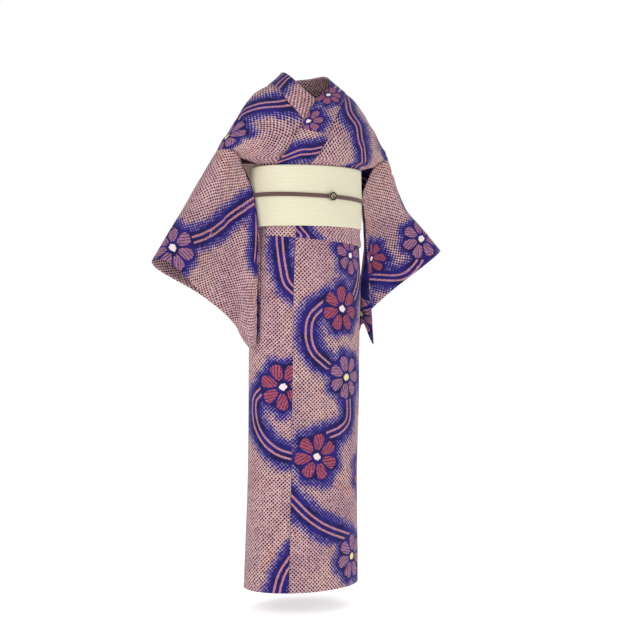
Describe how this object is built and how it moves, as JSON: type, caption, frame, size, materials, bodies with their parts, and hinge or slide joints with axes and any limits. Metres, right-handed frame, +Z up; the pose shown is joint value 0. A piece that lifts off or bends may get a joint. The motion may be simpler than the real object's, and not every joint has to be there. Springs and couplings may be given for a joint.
{
  "type": "cotton yukata robe with belt",
  "caption": "Long dyed cotton yukata in its worn hollow form, closed left over right, with wide sleeves, woven belt, back knot, cord and clasp.",
  "frame": {"origin": "middle of the neck at the height of the shoulders, where the wearer's shoulders carry the garment", "axes": "+Z up; the front faces -Y; the wearer's left is +X and the wearer's right is -X"},
  "size_m": [0.8623, 0.3275, 1.3784],
  "materials": {
    "dyed_cotton": "resist-dyed crisp cotton",
    "belt_weave": "ribbed weave, matt",
    "cord_braid": "flat braid",
    "ornament_bronze": "darkened, satin"
  },
  "bodies": {
    "root": {"body_left": "dyed_cotton", "body_right": "dyed_cotton", "okumi_left": "dyed_cotton", "okumi_right": "dyed_cotton", "collar": "dyed_cotton", "over_collar": "dyed_cotton", "sleeve_left": "dyed_cotton", "sleeve_right": "dyed_cotton", "obi_wrap": "belt_weave", "obi_drum": "belt_weave", "obi_tail": "belt_weave", "obi_cord": "cord_braid", "cord_ornament": "ornament_bronze"}
  },
  "joints": []
}
